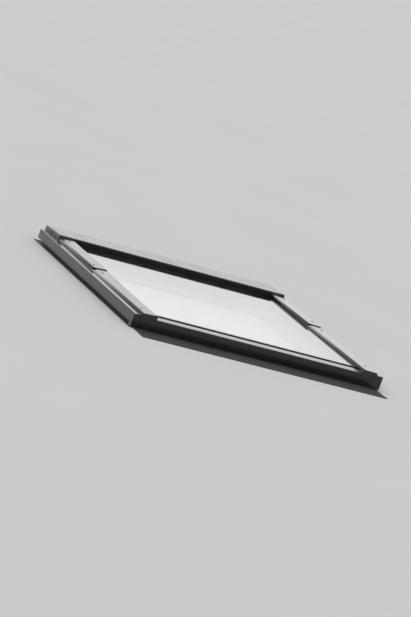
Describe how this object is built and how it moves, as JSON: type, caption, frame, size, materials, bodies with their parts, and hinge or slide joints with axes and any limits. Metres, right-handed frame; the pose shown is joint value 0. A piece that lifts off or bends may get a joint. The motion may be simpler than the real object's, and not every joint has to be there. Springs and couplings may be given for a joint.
{
  "type": "roof window",
  "caption": "Centre-pivot roof window for a slate roof: timber frame and sash, grey metal covers with a raised top casing, double glazing, flashing and fixing brackets.",
  "frame": {"origin": "under the middle of the window, in the plane the timber frame rests on; centre of the bounding box's bottom", "axes": "+X along the eaves to the right seen from below the window, +Y up the roof slope, +Z out of the roof"},
  "size_m": [1.2, 1.176, 0.1408],
  "materials": {
    "cover_metal": "semi-gloss",
    "flashing_metal": "satin",
    "timber": "white lacquer",
    "glass": "polished",
    "rubber": "matte",
    "steel": "zinc plated",
    "aluminium": "satin",
    "spacer": "matte black",
    "plastic": "matte"
  },
  "bodies": {
    "root": {"frame_head_rail": "timber", "frame_sill_rail": "timber", "frame_left_rail": "timber", "frame_right_rail": "timber", "sash_head_rail": "timber", "sash_sill_rail": "timber", "sash_left_stile": "timber", "sash_right_stile": "timber", "top_casing": "cover_metal", "top_casing_left_cap": "cover_metal", "top_casing_right_cap": "cover_metal", "upper_cover_left": "cover_metal", "upper_cover_right": "cover_metal", "sash_cover_left": "cover_metal", "sash_cover_right": "cover_metal", "sash_bottom_cover": "cover_metal", "frame_cladding_left": "cover_metal", "frame_cladding_right": "cover_metal", "frame_bottom_cover": "cover_metal", "flashing_head": "flashing_metal", "flashing_left": "flashing_metal", "flashing_right": "flashing_metal", "flashing_apron": "flashing_metal", "glazing_gasket": "rubber", "glass_edge_seal": "rubber", "sash_seal": "rubber", "casing_seal": "rubber", "outer_pane": "glass", "inner_pane": "glass", "pivot_hinge_left": "steel", "pivot_hinge_right": "steel", "bracket_upper_left": "steel", "bracket_upper_right": "steel", "bracket_lower_left": "steel", "bracket_lower_right": "steel", "control_bar": "aluminium", "vent_flap": "plastic", "control_bar_bracket_left": "plastic", "control_bar_bracket_right": "plastic", "edge_spacer": "spacer"}
  },
  "joints": []
}
